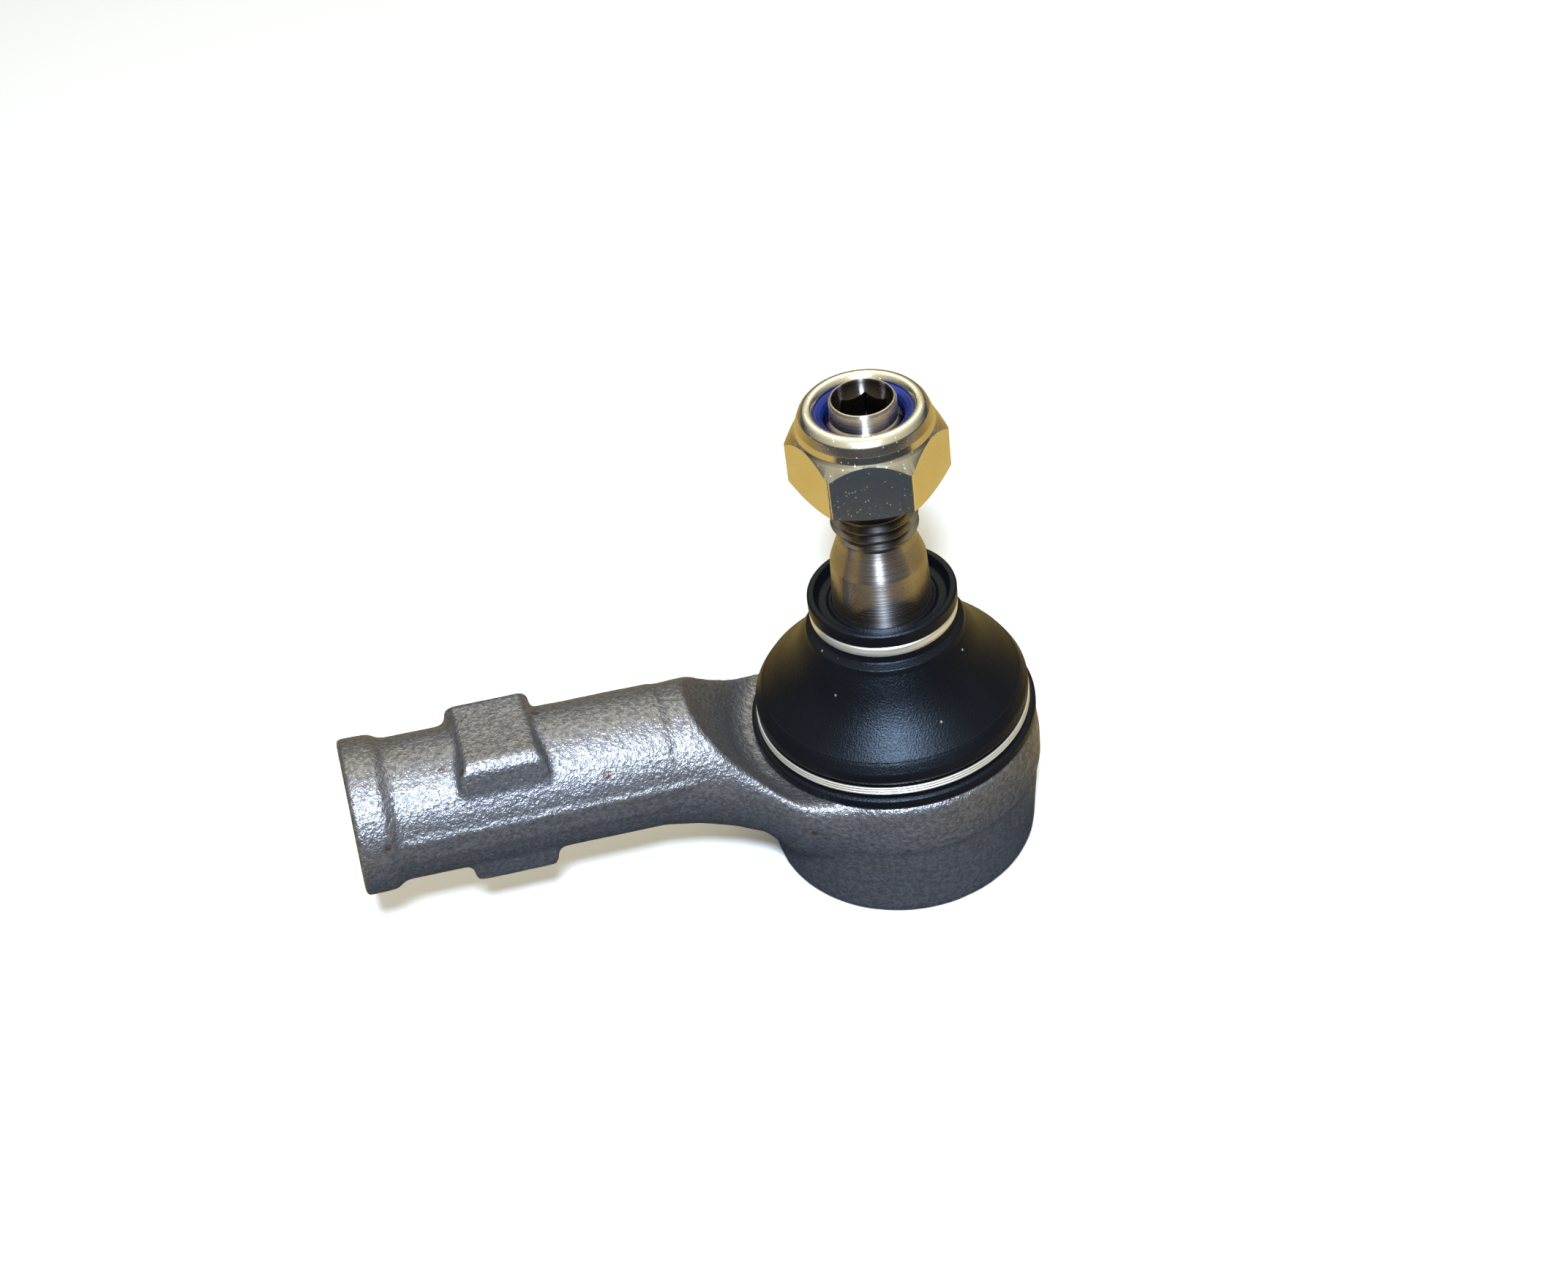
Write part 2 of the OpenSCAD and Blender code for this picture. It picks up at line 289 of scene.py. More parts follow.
def smooth(obj, angle):
    """Smooth shading, kept crisp across edges sharper than the angle in degrees."""
    pick(obj)
    bpy.ops.object.shade_smooth_by_angle(angle=math.radians(angle), keep_sharp_edges=False)
    return obj


def dress(obj, material, body=None, stands_for=()):
    """Give a piece its material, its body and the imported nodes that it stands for."""
    obj.data.materials.clear()
    obj.data.materials.append(material)
    if body:
        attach(obj, body)
    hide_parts(*stands_for)


# ---------------------------------------------------------------- node helpers

def feed(tree, node, inputs):
    """Feed a node's sockets with links or constants."""
    for key, value in inputs.items():
        if isinstance(value, bpy.types.NodeSocket):
            tree.links.new(value, node.inputs[key])
        else:
            node.inputs[key].default_value = value
    return node


def put(tree, kind, inputs, **values):
    """Add a node, set its values and feed its sockets."""
    made = tree.nodes.new(kind)
    for key, value in values.items():
        setattr(made, key, value)
    return feed(tree, made, inputs)


def new_group(name, inputs, outputs):
    """A shader node group with named sockets.

    Returns the tree, its input node and a function that feeds one of its outputs.
    """
    tree = bpy.data.node_groups.new(name, "ShaderNodeTree")
    for label, kind, default in inputs:
        made = tree.interface.new_socket(name=label, in_out="INPUT", socket_type=kind)
        if default is not None:
            made.default_value = default
    for label, kind in outputs:
        tree.interface.new_socket(name=label, in_out="OUTPUT", socket_type=kind)
    entry, leave = tree.nodes.new("NodeGroupInput"), tree.nodes.new("NodeGroupOutput")
    return tree, entry, lambda label, out: tree.links.new(out, leave.inputs[label])


def maths(tree, operation, a, b=0.5):
    return put(tree, "ShaderNodeMath", {0: a, 1: b}, operation=operation).outputs[0]


def ramp(tree, value, low, high, to_low=0.0, to_high=1.0):
    """Map a value's range low..high to another range, clamped."""
    made = put(tree, "ShaderNodeMapRange", {"Value": value, "From Min": low, "From Max": high,
                                            "To Min": to_low, "To Max": to_high})
    return made.outputs[0]


def noise(tree, vector, scale, detail, rough=0.55):
    made = put(tree, "ShaderNodeTexNoise", {"Vector": vector, "Scale": scale, "Detail": detail,
                                            "Roughness": rough})
    return made.outputs["Fac"]


def mix_colour(tree, factor, a, b):
    made = put(tree, "ShaderNodeMix", {"Factor": factor, 6: a, 7: b}, data_type="RGBA")
    return made.outputs[2]


def overlay(tree, mask, strength, under, over):
    """Lay one colour over another where the mask is 1, at a share of full strength."""
    return mix_colour(tree, maths(tree, "MULTIPLY", mask, strength), under, over)


def blast_group():
    """Shot-blasted skin: shallow dents at one size with finer grit on them."""
    tree, entry, leave = new_group(
        "Blasted Skin",
        [("Vector", "NodeSocketVector", None), ("Dents per Metre", "NodeSocketFloat", 1200.0),
         ("Grit", "NodeSocketFloat", 0.35)],
        [("Height", "NodeSocketFloat"), ("Polish", "NodeSocketFloat")])
    scale = entry.outputs["Dents per Metre"]
    dents = put(tree, "ShaderNodeTexVoronoi", {"Vector": entry.outputs["Vector"], "Scale": scale})
    swell = noise(tree, entry.outputs["Vector"], maths(tree, "MULTIPLY", scale, 0.8), 2.0, 0.5)
    fine = noise(tree, entry.outputs["Vector"], maths(tree, "MULTIPLY", scale, 2.6), 1.0, 0.5)
    body = maths(tree, "ADD", maths(tree, "MULTIPLY", dents.outputs["Distance"], -0.3), swell)
    height = maths(tree, "ADD", body, maths(tree, "MULTIPLY", fine, entry.outputs["Grit"]))
    leave("Height", height)
    leave("Polish", ramp(tree, height, 0.45, 0.75))
    return tree


def speck_group():
    """Sparse small spots: dust, chips or pores."""
    tree, entry, leave = new_group(
        "Specks",
        [("Vector", "NodeSocketVector", None), ("Spots per Metre", "NodeSocketFloat", 900.0),
         ("Share", "NodeSocketFloat", 0.05), ("Size", "NodeSocketFloat", 0.22)],
        [("Mask", "NodeSocketFloat")])
    cells = put(tree, "ShaderNodeTexVoronoi", {"Vector": entry.outputs["Vector"],
                                               "Scale": entry.outputs["Spots per Metre"]})
    lot = put(tree, "ShaderNodeSeparateColor", {"Color": cells.outputs["Color"]}).outputs[0]
    chosen = maths(tree, "LESS_THAN", lot, entry.outputs["Share"])
    inner = maths(tree, "MULTIPLY", entry.outputs["Size"], 0.5)
    near = ramp(tree, cells.outputs["Distance"], entry.outputs["Size"], inner)
    leave("Mask", maths(tree, "MULTIPLY", chosen, near))
    return tree


def patch_group():
    """Broad soft patches between two tones."""
    tree, entry, leave = new_group(
        "Tone Patches",
        [("Vector", "NodeSocketVector", None), ("Patches per Metre", "NodeSocketFloat", 90.0),
         ("First Tone", "NodeSocketColor", (0.2, 0.2, 0.2, 1)),
         ("Second Tone", "NodeSocketColor", (0.3, 0.3, 0.3, 1))],
        [("Color", "NodeSocketColor"), ("Share", "NodeSocketFloat")])
    cloud = noise(tree, entry.outputs["Vector"], entry.outputs["Patches per Metre"], 4.0, 0.6)
    share = ramp(tree, cloud, 0.35, 0.65)
    leave("Share", share)
    leave("Color", mix_colour(tree, share, entry.outputs["First Tone"], entry.outputs["Second Tone"]))
    return tree


def lathe_group():
    """Fine rings left by turning or rolling, stacked along Z."""
    tree, entry, leave = new_group(
        "Turning Marks",
        [("Vector", "NodeSocketVector", None), ("Rings per Metre", "NodeSocketFloat", 3500.0),
         ("Wander", "NodeSocketFloat", 0.5)],
        [("Height", "NodeSocketFloat")])
    parts = put(tree, "ShaderNodeSeparateXYZ", {0: entry.outputs["Vector"]})
    sway = noise(tree, entry.outputs["Vector"], 150.0, 2.0)
    up = maths(tree, "ADD", maths(tree, "MULTIPLY", parts.outputs["Z"], entry.outputs["Rings per Metre"]),
               maths(tree, "MULTIPLY", sway, entry.outputs["Wander"]))
    lines = put(tree, "ShaderNodeTexNoise", {"W": up, "Scale": 1.0, "Detail": 3.0}, noise_dimensions="1D")
    leave("Height", lines.outputs["Fac"])
    return tree


GROUP_MAKERS = {"blast": blast_group, "specks": speck_group, "patches": patch_group, "lathe": lathe_group}
groups = {}


def group(tree, name, inputs):
    """Place one of the shared effects in a material."""
    if name not in groups:
        groups[name] = GROUP_MAKERS[name]()
    return put(tree, "ShaderNodeGroup", inputs, node_tree=groups[name])


def rgba(colour, share=1.0):
    """The colour, scaled and with its alpha, as a socket takes it."""
    return (*(c * share for c in colour), 1.0)


def patches(tree, where, per_metre, first, second):
    """The group that blends two tones in broad soft patches."""
    return group(tree, "patches", {"Vector": where, "Patches per Metre": per_metre, "First Tone": first,
                                   "Second Tone": second})


def specks(tree, where, per_metre, share, size):
    """The mask of sparse small spots."""
    made = group(tree, "specks", {"Vector": where, "Spots per Metre": per_metre, "Share": share,
                                  "Size": size})
    return made.outputs["Mask"]


def turning_marks(tree, where, per_metre, wander):
    """The height of fine turned rings."""
    made = group(tree, "lathe", {"Vector": where, "Rings per Metre": per_metre, "Wander": wander})
    return made.outputs["Height"]


def new_material(name, **constants):
    """A Principled material on Object coordinates. Returns material, tree, shader and the coordinates."""
    material = bpy.data.materials.new(name)
    material.use_nodes = True
    tree = material.node_tree
    shader = tree.nodes["Principled BSDF"]
    for key, value in constants.items():
        shader.inputs[key.replace("_", " ")].default_value = value
    where = tree.nodes.new("ShaderNodeTexCoord").outputs["Object"]
    return material, tree, shader, where


def bump(tree, shader, height, distance):
    """Feed a height, in shares of the distance in mm, to the shader's normal."""
    made = put(tree, "ShaderNodeBump", {"Height": height, "Distance": distance * MM, "Strength": 1.0})
    tree.links.new(made.outputs["Normal"], shader.inputs["Normal"])


# ---------------------------------------------------------------- materials

def forged_material(look):
    """Shot-blasted forging: dark dented steel with brown patches, rust spots, pores and brighter peaks,
    partly burnished and partly painted glints.
    """
    material, tree, shader, where = new_material("Forged Steel", Metallic=0.85)
    skin = group(tree, "blast", {"Vector": where, "Dents per Metre": 1000 / look.dent_size, "Grit": 0.5})
    tone = patches(tree, where, 70.0, rgba(look.steel), rgba(look.warm_steel))
    # Peaks lightened in colour: partly burnished steel, partly painted glints
    peaks_polish_and_glint = overlay(tree, skin.outputs["Polish"], 0.35, tone.outputs["Color"], BLASTED_PEAK_AND_GLINT)
    brown = overlay(tree, specks(tree, where, 420.0, 0.045, 0.3), 0.7, peaks_polish_and_glint, RUST)
    final = overlay(tree, specks(tree, where, 1500.0, 0.08, 0.3), 0.6, brown, PORE)
    feed(tree, shader, {"Base Color": final,
                        "Roughness": ramp(tree, skin.outputs["Polish"], 0.0, 1.0, 0.48, 0.35)})
    bump(tree, shader, skin.outputs["Height"], look.dent_depth)
    return material


def stud_material(look, name, brushed, rough, shade=1.0):
    """Bright steel under a faint warm film, brushed round the axis, with painted shade inside the key socket;
    the shade factor darkens its colours as painted shade.
    """
    material, tree, shader, where = new_material(name, Metallic=1.0, Anisotropic=brushed)
    marks = turning_marks(tree, where, 5000.0, 0.4)
    # Both tones are scaled by shade, which is painted shade where it is under 1
    film = patches(tree, where, 160.0, rgba(look.steel, shade), rgba(look.film, shade))
    worn = overlay(tree, specks(tree, where, 1400.0, 0.05, 0.2), 0.7, film.outputs["Color"], NICK)
    place = put(tree, "ShaderNodeSeparateXYZ", {0: where}).outputs
    beside = maths(tree, "SQRT", maths(tree, "ADD", maths(tree, "MULTIPLY", place["X"], place["X"]),
                                       maths(tree, "MULTIPLY", place["Y"], place["Y"])))
    # Painted shade: the inside of the key socket is darkened almost to black
    within = ramp(tree, beside, (SOCKET_MOUTH_R + 0.04) * MM, (SOCKET_MOUTH_R - 0.1) * MM)
    inside = maths(tree, "MULTIPLY", within,
                   ramp(tree, place["Z"], (STUD_TOP - 8.0) * MM, (STUD_TOP - 7.5) * MM))
    feed(tree, shader, {"Base Color": overlay(tree, inside, 0.9, worn, SOCKET_PAINTED_SHADE),
                        "Roughness": ramp(tree, marks, 0.3, 0.7, rough, rough * 1.5),
                        "Anisotropic Rotation": 0.25})
    around = put(tree, "ShaderNodeTangent", {}, direction_type="RADIAL", axis="Z")
    tree.links.new(around.outputs["Tangent"], shader.inputs["Tangent"])
    bump(tree, shader, marks, 0.004)
    return material


def rubber_material(look):
    """Satin moulded rubber with a fine grain and a little dust."""
    material, tree, shader, where = new_material("Boot Rubber", Specular_IOR_Level=0.19,
                                                 Specular_Tint=(0.66, 0.82, 1.0, 1))
    grain = noise(tree, where, 3600.0, 3.0, 0.6)
    bloom = patches(tree, where, 55.0, rgba(look.rubber), rgba(look.rubber, 1.5))
    dusty = overlay(tree, specks(tree, where, 700.0, 0.02, 0.16), 0.45, bloom.outputs["Color"], DUST)
    feed(tree, shader, {"Base Color": dusty,
                        "Roughness": ramp(tree, bloom.outputs["Share"], 0.0, 1.0, 0.31, 0.36)})
    bump(tree, shader, grain, 0.07)
    return material


def ring_material(look):
    """Bright spring wire with a trace of yellow."""
    material, tree, shader, where = new_material("Spring Wire", Metallic=0.9)
    tone = patches(tree, where, 110.0, rgba(look.wire), rgba(look.wire_tint))
    scratch = noise(tree, where, 2600.0, 3.0)
    feed(tree, shader, {"Base Color": tone.outputs["Color"],
                        "Roughness": ramp(tree, scratch, 0.3, 0.7, 0.3, 0.37)})
    bump(tree, shader, scratch, 0.004)
    return material


def nut_material(look):
    """Zinc plating with a pale yellow passivation, speckled with small pits."""
    material, tree, shader, where = new_material("Nut Plating", Metallic=1.0)
    tone = patches(tree, where, 140.0, rgba(look.plating), rgba(look.plating_tint))
    pits = specks(tree, where, 2600.0, 0.12, 0.34)
    pitted = overlay(tree, pits, 0.6, tone.outputs["Color"], PIT)
    haze = noise(tree, where, 3800.0, 3.0, 0.65)
    dull = maths(tree, "MULTIPLY", pits, 0.3)
    feed(tree, shader, {"Base Color": pitted,
                        "Roughness": maths(tree, "ADD", ramp(tree, haze, 0.3, 0.7, 0.13, 0.19), dull)})
    bump(tree, shader, maths(tree, "ADD", haze, maths(tree, "MULTIPLY", pits, 0.5)), 0.008)
    return material


def nylon_material(look):
    """Glossy moulded nylon."""
    material, tree, shader, where = new_material("Blue Nylon", Roughness=0.3, Specular_IOR_Level=0.4)
    tone = patches(tree, where, 260.0, rgba(look.nylon), rgba(look.nylon, 0.6))
    feed(tree, shader, {"Base Color": tone.outputs["Color"]})
    bump(tree, shader, noise(tree, where, 1500.0, 2.0), 0.03)
    return material


def plain_steel_material(name, first, second, rough):
    """Pressed or phosphated steel for the cap and the disc spring."""
    material, tree, shader, where = new_material(name, Metallic=0.95)
    tone = patches(tree, where, 120.0, rgba(first), rgba(second))
    marks = turning_marks(tree, where, 2400.0, 1.0)
    feed(tree, shader, {"Base Color": tone.outputs["Color"],
                        "Roughness": ramp(tree, tone.outputs["Share"], 0.0, 1.0, rough, rough + 0.12)})
    bump(tree, shader, marks, 0.01)
    return material


def seat_material():
    """Ivory moulded acetal."""
    material, tree, shader, where = new_material("Seat Plastic", Specular_IOR_Level=0.4)
    tone = patches(tree, where, 200.0, (0.78, 0.74, 0.63, 1), (0.7, 0.66, 0.55, 1))
    feed(tree, shader, {"Base Color": tone.outputs["Color"],
                        "Roughness": ramp(tree, tone.outputs["Share"], 0.0, 1.0, 0.4, 0.5)})
    return material


# ---------------------------------------------------------------- settings

def colour(name, text, default):
    return FloatVectorProperty(name=name, description=text, default=default, size=3, min=0, max=1,
                               subtype="COLOR")


def amount(name, text, default, low, high):
    return FloatProperty(name=name, description=text + ", in millimetres", default=default, min=low, max=high)


class HousingSettings(bpy.types.PropertyGroup):
    voxel: amount("Skin cell", "Cell size of the blended forging skin", 0.42, 0.3, 0.8)
    soften: IntProperty(name="Soften", description="Rounds of smoothing over the forging's edges", default=7,
                        min=0, max=20)
    swell: amount("Skin swell", "Height of the broad waves in the forged skin", 0.1, 0, 0.4)
    dent_size: amount("Dent size", "Width of one blasting dent", 0.55, 0.2, 2)
    dent_depth: amount("Dent depth", "Depth of the blasting dents", 0.16, 0, 0.3)
    arm_thread_r: amount("Arm thread radius", "Major radius of the thread in the arm", 7.0, 6.5, 7.5)
    arm_bore_r: amount("Arm bore radius", "Minor radius of the thread in the arm", 6.19, 6, 6.5)
    steel: colour("Steel", "Colour of the blasted steel", (0.12, 0.12, 0.132))
    warm_steel: colour("Warm steel", "Colour of its browner patches", (0.125, 0.116, 0.11))


class StudSettings(bpy.types.PropertyGroup):
    thread_r: amount("Thread radius", "Major radius of the stud's thread", 6.0, 5, 7)
    root_r: amount("Root radius", "Radius at the thread's root", 5.1, 4.5, 5.8)
    pitch: amount("Pitch", "Rise of the thread in one turn", 1.5, 1, 2)
    socket_af: amount("Key size", "Across flats of the key socket", 6.0, 5, 7)
    steel: colour("Steel", "Colour of the turned steel", (0.5, 0.475, 0.47))
    film: colour("Film", "Colour where an oily film warms it", (0.43, 0.37, 0.34))


class BootSettings(bpy.types.PropertyGroup):
    flange_r: amount("Flange radius", "Radius of the flange on the housing", 20.35, 20, 21)
    side_r: amount("Side radius", "Radius of the boot's side", 19.4, 19, 20)
    rim_r: amount("Rim radius", "Radius of the collar round the stud", 10.4, 10, 11)
    rubber: colour("Rubber", "Colour of the rubber", (0.002, 0.002, 0.0028))


class RingSettings(bpy.types.PropertyGroup):
    wire_r: amount("Wire radius", "Radius of the lower ring's wire", 0.2, 0.2, 0.35)
    wire: colour("Wire", "Colour of the spring wire", (0.84, 0.84, 0.84))
    wire_tint: colour("Wire tint", "Colour of its yellower stretches", (0.82, 0.78, 0.68))


class NutSettings(bpy.types.PropertyGroup):
    across_flats: amount("Across flats", "Distance across the nut's flats", 19.0, 17, 21)
    height: amount("Height", "Height with the rolled collar", 12.0, 10, 14)
    grip_r: amount("Nylon bore", "Radius inside the nylon ring", 5.4, 5, 6)
    plating: colour("Plating", "Colour of the zinc plating", (0.9, 0.86, 0.74))
    plating_tint: colour("Passivation", "Colour where the passivation is thicker", (0.86, 0.79, 0.6))
    nylon: colour("Nylon", "Colour of the locking ring", (0.0012, 0.009, 0.09))


class StageSettings(bpy.types.PropertyGroup):
    floor: colour("Floor", "Colour of the floor", (0.9, 0.9, 0.89))
    flash: FloatProperty(name="Front light", description="Power of the light beside the camera", default=5.1,
                         min=0, subtype="POWER")
    roof: FloatProperty(name="Overhead light", description="Power of the light overhead", default=1.3,
                        min=0, subtype="POWER")
    room: FloatProperty(name="Room light", description="Strength of the light from all round", default=0.5,
                        min=0)


class TieRodSettings(bpy.types.PropertyGroup):
    housing: PointerProperty(type=HousingSettings, name="Housing", description="The forged arm and cup")
    stud: PointerProperty(type=StudSettings, name="Stud", description="The ball stud")
    boot: PointerProperty(type=BootSettings, name="Boot", description="The rubber boot")
    rings: PointerProperty(type=RingSettings, name="Rings", description="The boot's spring rings")
    nut: PointerProperty(type=NutSettings, name="Nut", description="The lock nut and its nylon ring")
    stage: PointerProperty(type=StageSettings, name="Stage", description="Floor, lights and camera")


# ---------------------------------------------------------------- pieces

def thread_outline(root, crest, pitch, low):
    """One pitch of a rounded V thread, from root to root, as (radius, height) points."""
    shape = [(0.0, 0), (0.1, 0.03), (0.44, 0.97), (0.5, 1), (0.56, 0.97), (0.9, 0.03), (1.0, 0)]
    return [(root + (crest - root) * up, low + along * pitch) for along, up in shape]


def web_share(x, y, z):
    """How much a point in mm belongs to the worn web, fading from 1 to 0 at the web's edges."""
    away = math.hypot(x, y)
    inner = WEB_FLANK_INNER_R if abs(y) > WEB_FLANK else WEB_INNER_R
    return max(min((WEB_FRONT - x) / 8, away - inner, (WEB_OUTER_R - away) / 3, (z - WEB_FOOT) / 2, 1), 0)


class TIEROD_OT_housing(bpy.types.Operator):
    """Blend the forged cup and arm into one skin and cut the thread in the arm's end"""
    bl_idname = "tierod.housing"
    bl_label = "Housing"

    def execute(self, context):
        look = context.scene.tie_rod.housing
        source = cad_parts["housing"]
        clear_selection()
        piece = bpy.data.objects.new("forged_housing", source.data.copy())
        context.scene.collection.objects.link(piece)
        pick(piece)
        bpy.ops.object.mode_set(mode="EDIT")
        bpy.ops.mesh.select_all(action="SELECT")
        bpy.ops.mesh.remove_doubles(threshold=1e-6)
        bpy.ops.object.mode_set(mode="OBJECT")
        modify(piece, "REMESH", mode="VOXEL", voxel_size=look.voxel * MM, adaptivity=0.0,
               use_smooth_shade=True)
        modify(piece, "SMOOTH", factor=0.5, iterations=look.soften)
        web = piece.vertex_groups.new(name="web")
        for v in piece.data.vertices:
            x, y, z = v.co / MM
            if abs(y) > WEB_SIDE:
                web.add([v.index], web_share(x, y, z), "REPLACE")
        modify(piece, "SMOOTH", factor=0.5, iterations=WEB_ROUNDS, vertex_group="web")
        waves = bpy.data.textures.new("forged_waves", "CLOUDS")
        waves.noise_scale, waves.noise_depth = WAVE_WIDTH, 2
        modify(piece, "DISPLACE", texture=waves, texture_coords="LOCAL", strength=look.swell * MM,
               mid_level=0.5)

        tap = wound("tap", thread_outline(look.arm_bore_r, look.arm_thread_r, ARM_PITCH, -ARM_THREAD_DEPTH),
                    ARM_PITCH, round(ARM_THREAD_DEPTH / ARM_PITCH), 48)
        close_holes(tap)
        mouth_r = look.arm_thread_r + 0.5
        mouth = turned("mouth", [(0.01, -1.2), (look.arm_bore_r, -1.2), (mouth_r, 0.01), (mouth_r, 1.0),
                                 (0.01, 1.0)], 96)
        tilt = Matrix.Rotation(SHANK_RISE - math.pi / 2, 4, "Y")
        place = Matrix.Translation((0, 0, SHANK_HEIGHT * MM)) @ tilt @ Matrix.Translation(
            (0, 0, SHANK_END * MM))
        for tool in (tap, mouth):
            tool.data.transform(place)
            cut_with(piece, tool)
        smooth(piece, 50)
        dress(piece, forged_material(look), "housing_body", ["housing"])
        return {"FINISHED"}


class TIEROD_OT_stud(bpy.types.Operator):
    """Turn the ball, neck, taper and point, cut the key socket and roll the thread"""
    bl_idname = "tierod.stud"
    bl_label = "Ball stud"

    def execute(self, context):
        look = context.scene.tie_rod.stud
        ball = [(BALL_R * math.cos(math.radians(a)), BALL_R * math.sin(math.radians(a)))
                for a in (-89.9, *range(-84, 55, 6))]
        shaft = outline([
            ball[-1], (6.2, 9.4, 0.5), (6.2, 14.5, 1.5), (7.2, 19.5, 1.5), (*TAPER_FOOT, 1.0),
            (*TAPER_TOP, 0.22), (6.35, 37.5, 0.4), (5.5, 39.9, 0.9), (5.25, 41.0, 0.5),
            (look.root_r + 0.02, 41.9, 0.1), (look.root_r + 0.02, 59.2, 0.1), (POINT_R + 0.05, 59.9, 0.2),
            (POINT_R, STUD_TOP - 0.35, 0.15),
            (POINT_R - 0.2, STUD_TOP, 0.1), (0.01, STUD_TOP)])
        stud = turned("ball_stud_steel", ball[:-1] + shaft, 144)
        turns = math.ceil((THREAD_HIGH - THREAD_LOW) / look.pitch)
        ridge = wound("thread", thread_outline(look.root_r, look.thread_r, look.pitch, THREAD_LOW),
                      look.pitch, turns, 72, math.radians(200))
        under = look.root_r - 0.1
        for v in ridge.data.vertices:
            height, radius = v.co.z / MM, math.hypot(v.co.x, v.co.y) / MM
            lead_in, lead_out = under + max(height - THREAD_LOW, 0) * 0.9, under + THREAD_HIGH - height
            allowed = min(look.thread_r, lead_in, max(lead_out, POINT_R - 0.2))
            if radius > allowed:
                v.co.x, v.co.y = v.co.x * allowed / radius, v.co.y * allowed / radius
        close_holes(ridge)
        cut_with(stud, ridge, "UNION")
        cut_with(stud, hexagon("socket", look.socket_af, STUD_TOP - 5.5, STUD_TOP + 1, math.radians(10), 0.2))
        cut_with(stud, turned("drill", [
            (0.01, STUD_TOP - 7.2), (2.6, STUD_TOP - 5.6), (2.6, STUD_TOP - 5.0), (0.01, STUD_TOP - 5.0)],
            48))
        cut_with(stud, turned("sink", [
            (0.01, STUD_TOP - 2.2), (2.9, STUD_TOP - 2.2), (3.75, STUD_TOP - 1.2),
            (SOCKET_MOUTH_R, STUD_TOP + 0.02), (SOCKET_MOUTH_R, STUD_TOP + 1), (0.01, STUD_TOP + 1)], 96))
        smooth(stud, 40)
        dress(stud, stud_material(look, "Turned Steel", brushed=0.95, rough=0.21), "stud_body",
              ["ball_stud"])
        # Painted shade: the thread's copy of the steel is darkened to 0.55 of its colours
        stud.data.materials.append(stud_material(look, "Rolled Thread", brushed=0.6, rough=0.15, shade=0.55))
        for face in stud.data.polygons:
            face.material_index = int(THREAD_LOW * MM < face.center.z < (THREAD_HIGH + 0.2) * MM)
        return {"FINISHED"}


class TIEROD_OT_boot(bpy.types.Operator):
    """Turn the rubber boot that closes the gap between the housing and the leaning stud"""
    bl_idname = "tierod.boot"
    bl_label = "Dust boot"

    def execute(self, context):
        look = context.scene.tie_rod.boot
        side, flange, rim = look.side_r, look.flange_r, look.rim_r
        boot = turned("rubber_boot", outline([
            (17.06, 7.96, 0.1), (flange - 0.15, 7.96, 0.12), (flange, 8.25, 0.15), (flange, 9.35, 0.3),
            (19.9, 9.62, 0.15), (side - 0.42, 9.6, 0.06), (side - 0.42, 11.5, 0.06),
            (side - 0.15, 11.66, 0.1), (side, 12.1, 0.2), (side, 13.3, 0.9), (18.62, 14.55, 0.5),
            (18.37, 14.86, 0.05), (18.36, 14.96, 0.05), (18.2, 15.06, 0.05), (14.0, 19.5, 30),
            (11.3, 24.4, 1.5), (11.0, 25.15, 0.3),
            (9.95, 25.65, 0.5), (9.78, 26.2, 0.3), (9.78, 28.68, 0.1), (rim - 0.1, 28.72, 0.1),
            (rim, 29.0, 0.15), (rim, 30.55, 0.28), (10.1, 30.8, 0.2), (9.45, 30.78, 0.2), (9.25, 30.2, 0.3),
            (8.95, 29.2, 0.4), (7.8, 29.1, 0.4), (7.4, 29.6, 0.2), (7.03, 29.5, 0.06), (7.19, 26.1, 0.1),
            (8.3, 25.1, 0.6), (9.7, 23.9, 1.0), (13.0, 19.0, 3.0), (17.2, 14.2, 1.2), (18.0, 12.9, 0.4),
            (17.9, 12.5, 0.1), (17.06, 12.5, 0.1)], closed=True), 192, closed=True)
        smooth(boot, 60)
        dress(boot, rubber_material(look), stands_for=["dust_boot"])
        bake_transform(boot)
        return {"FINISHED"}


class TIEROD_OT_rings(bpy.types.Operator):
    """Wind the lower ring from wire and form the upper ring from flat band"""
    bl_idname = "tierod.rings"
    bl_label = "Spring rings"

    def execute(self, context):
        look = context.scene.tie_rod.rings
        material = ring_material(look)
        middle = (sum(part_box("lower_boot_ring"), Vector()) / 2).z / MM
        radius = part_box("lower_boot_ring")[1].x / MM - 0.3
        pitch = look.wire_r * RING_SPACING
        low = middle - pitch * RING_TURNS / 2
        section = [(radius + look.wire_r * math.cos(a), low + look.wire_r * math.sin(a))
                   for a in [k * FULL_TURN / 12 for k in range(13)]]
        coil = wound("lower_spring_ring", section, pitch, RING_TURNS, 160, math.radians(60))
        close_holes(coil)
        smooth(coil, 60)
        dress(coil, material, "housing_body", ["lower_boot_ring"])

        low, high = (corner.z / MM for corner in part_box("upper_boot_ring"))
        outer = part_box("upper_boot_ring")[1].x / MM
        band = turned("upper_spring_ring", outline([
            (outer - 0.5, low + 0.1, 0.05), (outer - 0.3, low, 0.08), (outer - 0.06, low + 0.3, 0.3),
            (outer, low + 0.8, 0.5), (outer - 0.06, high - 0.3, 0.3), (outer - 0.3, high, 0.08),
            (outer - 0.5, high - 0.1, 0.05)], closed=True), 192, closed=True)
        smooth(band, 60)
        dress(band, material, "lean_body", ["upper_boot_ring"])
        return {"FINISHED"}


